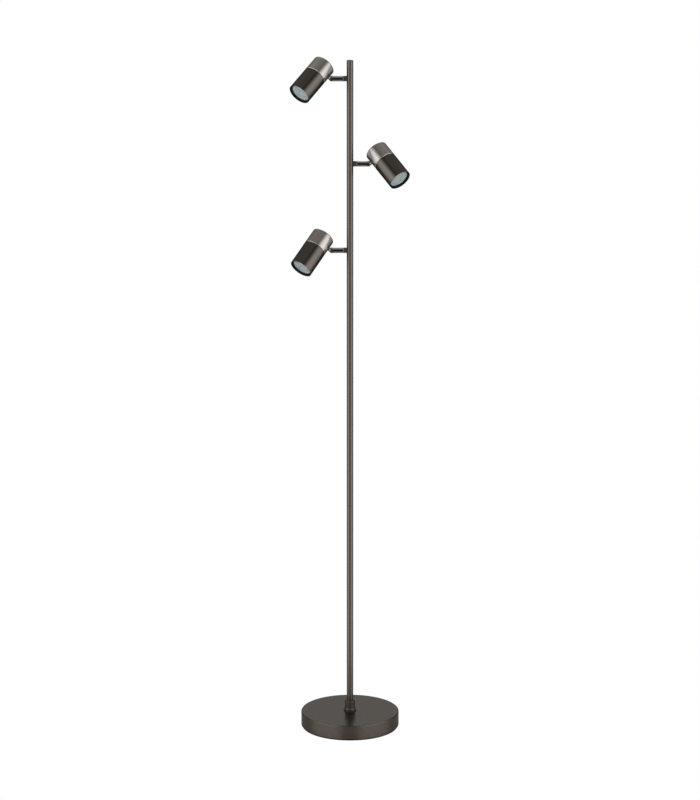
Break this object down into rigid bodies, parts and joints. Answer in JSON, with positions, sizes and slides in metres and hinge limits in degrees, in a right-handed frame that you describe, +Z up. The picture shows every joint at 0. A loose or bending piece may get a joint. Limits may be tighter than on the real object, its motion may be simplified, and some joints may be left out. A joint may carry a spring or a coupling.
{
  "type": "multi-arm floor lamp",
  "caption": "Slim bronze floor lamp on a weighted round base, with cylindrical spot heads on short swivel arms that turn and tilt to aim the light.",
  "frame": {"origin": "underside of the floor pad, under the middle of the base and on the pole's axis", "axes": "+Z up along the pole, +X to the viewer's right along the middle arm, -Y to the front"},
  "size_m": [0.2695, 0.2275, 1.5736],
  "materials": {
    "bronze_paint": "satin dark bronze",
    "satin_nickel": "brushed nickel plate",
    "polished_chrome": "polished dark chrome",
    "zinc_steel": "zinc plated",
    "cast_iron": "as cast",
    "dark_pad": "matt foam rubber",
    "dark_plastic": "moulded",
    "pale_plastic": "moulded, heat resistant",
    "lead_sleeve": "sleeved wire",
    "lamp_body": "black coat, silvered inside",
    "lens_glass": "pressed, frosted"
  },
  "bodies": {
    "stand": {"base_cover": "bronze_paint", "base_weight": "cast_iron", "base_plate": "zinc_steel", "plate_screws": "zinc_steel", "floor_pad": "dark_pad", "cord_bush": "dark_plastic", "terminal_block": "pale_plastic", "pole_nipple": "zinc_steel", "nipple_washer": "zinc_steel", "nipple_nut": "zinc_steel", "pole_collar": "bronze_paint", "pole_foot_insert": "zinc_steel", "lower_pole": "bronze_paint", "pole_joiner": "zinc_steel", "upper_pole": "bronze_paint", "pole_cap": "bronze_paint", "pole_wiring": "lead_sleeve", "arm_boss_top": "bronze_paint", "swivel_washer_top": "polished_chrome", "swivel_stem_top": "zinc_steel", "arm_boss_middle": "bronze_paint", "swivel_washer_middle": "polished_chrome", "swivel_stem_middle": "zinc_steel", "arm_boss_low": "bronze_paint", "swivel_washer_low": "polished_chrome", "swivel_stem_low": "zinc_steel"},
    "arm_top": {"swivel_barrel_top": "polished_chrome", "pivot_screw_top": "polished_chrome"},
    "head_top": {"rear_cap_top": "satin_nickel", "body_tube_top": "bronze_paint", "tongue_top": "bronze_paint", "holder_bracket_top": "zinc_steel", "holder_screws_top": "zinc_steel", "lampholder_top": "pale_plastic", "bulb_top": "lamp_body", "bulb_lens_top": "lens_glass", "head_lead_top": "lead_sleeve"},
    "arm_middle": {"swivel_barrel_middle": "polished_chrome", "pivot_screw_middle": "polished_chrome"},
    "head_middle": {"rear_cap_middle": "satin_nickel", "body_tube_middle": "bronze_paint", "tongue_middle": "bronze_paint", "holder_bracket_middle": "zinc_steel", "holder_screws_middle": "zinc_steel", "lampholder_middle": "pale_plastic", "bulb_middle": "lamp_body", "bulb_lens_middle": "lens_glass", "head_lead_middle": "lead_sleeve"},
    "arm_low": {"swivel_barrel_low": "polished_chrome", "pivot_screw_low": "polished_chrome"},
    "head_low": {"rear_cap_low": "satin_nickel", "body_tube_low": "bronze_paint", "tongue_low": "bronze_paint", "holder_bracket_low": "zinc_steel", "holder_screws_low": "zinc_steel", "lampholder_low": "pale_plastic", "bulb_low": "lamp_body", "bulb_lens_low": "lens_glass", "head_lead_low": "lead_sleeve"}
  },
  "joints": [
    {"name": "swivel_top", "type": "hinge", "parent": "stand", "child": "arm_top", "pos_m": [0, 0, 1.5274], "axis": [1, 0, 0], "range_deg": [-121.4, 218.6]},
    {"name": "tilt_top", "type": "hinge", "parent": "arm_top", "child": "head_top", "pos_m": [-0.04295, 0, 1.5274], "axis": [0, 0.6613, -0.7501], "range_deg": [-54.3, 55.7]},
    {"name": "swivel_middle", "type": "hinge", "parent": "stand", "child": "arm_middle", "pos_m": [0, 0, 1.3318], "axis": [1, 0, 0], "range_deg": [-121.4, 218.6]},
    {"name": "tilt_middle", "type": "hinge", "parent": "arm_middle", "child": "head_middle", "pos_m": [0.04295, 0, 1.3318], "axis": [0, -0.6613, 0.7501], "range_deg": [-53, 57]},
    {"name": "swivel_low", "type": "hinge", "parent": "stand", "child": "arm_low", "pos_m": [0, 0, 1.1314], "axis": [1, 0, 0], "range_deg": [-126.8, 213.2]},
    {"name": "tilt_low", "type": "hinge", "parent": "arm_low", "child": "head_low", "pos_m": [-0.04295, 0, 1.1314], "axis": [0, 0.729, -0.6845], "range_deg": [-51, 59]}
  ]
}
